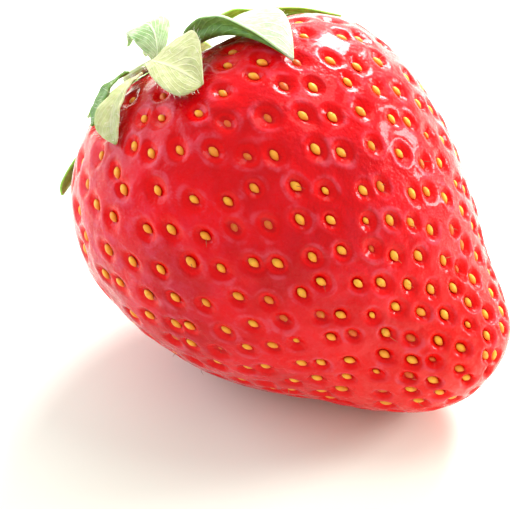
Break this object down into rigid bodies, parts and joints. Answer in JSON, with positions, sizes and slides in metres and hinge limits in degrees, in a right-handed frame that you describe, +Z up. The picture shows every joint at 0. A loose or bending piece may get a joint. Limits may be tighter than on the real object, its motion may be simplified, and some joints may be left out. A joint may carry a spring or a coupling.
{
  "type": "strawberry",
  "caption": "Ripe red strawberry with a green leafy cap and a short stalk stub, lying on its side on a small flat spot.",
  "frame": {"origin": "middle of the flat spot that the berry rests on, on the surface under it", "axes": "+Z up, out of the surface it rests on; +X the way the tip points, seen from above; +Y across"},
  "size_m": [0.048, 0.0373, 0.0396],
  "materials": {
    "berry_skin": "ripe red skin, moist gloss, fine pits that each hold a seed",
    "achene": "small hard yellow-gold seeds, satin, some turned red",
    "style": "dry brown thread left on a few seeds",
    "sepal": "fresh leaf green, satin upper face, pale hairy underside, long veins",
    "bract": "pale leaf green, matt, with fine hairs",
    "calyx_hub": "green, matt",
    "stalk": "light green, matt, faintly ribbed, dry cut end",
    "leaf_hair": "fine silky white hairs"
  },
  "bodies": {
    "root": {"berry": "berry_skin", "calyx_hub": "calyx_hub", "sepal_1": "sepal", "sepal_2": "sepal", "sepal_3": "sepal", "sepal_4": "sepal", "sepal_5": "sepal", "epicalyx_bract_1": "bract", "epicalyx_bract_2": "bract", "epicalyx_bract_3": "bract", "epicalyx_bract_4": "bract", "epicalyx_bract_5": "bract", "stalk_stub": "stalk"}
  },
  "joints": []
}
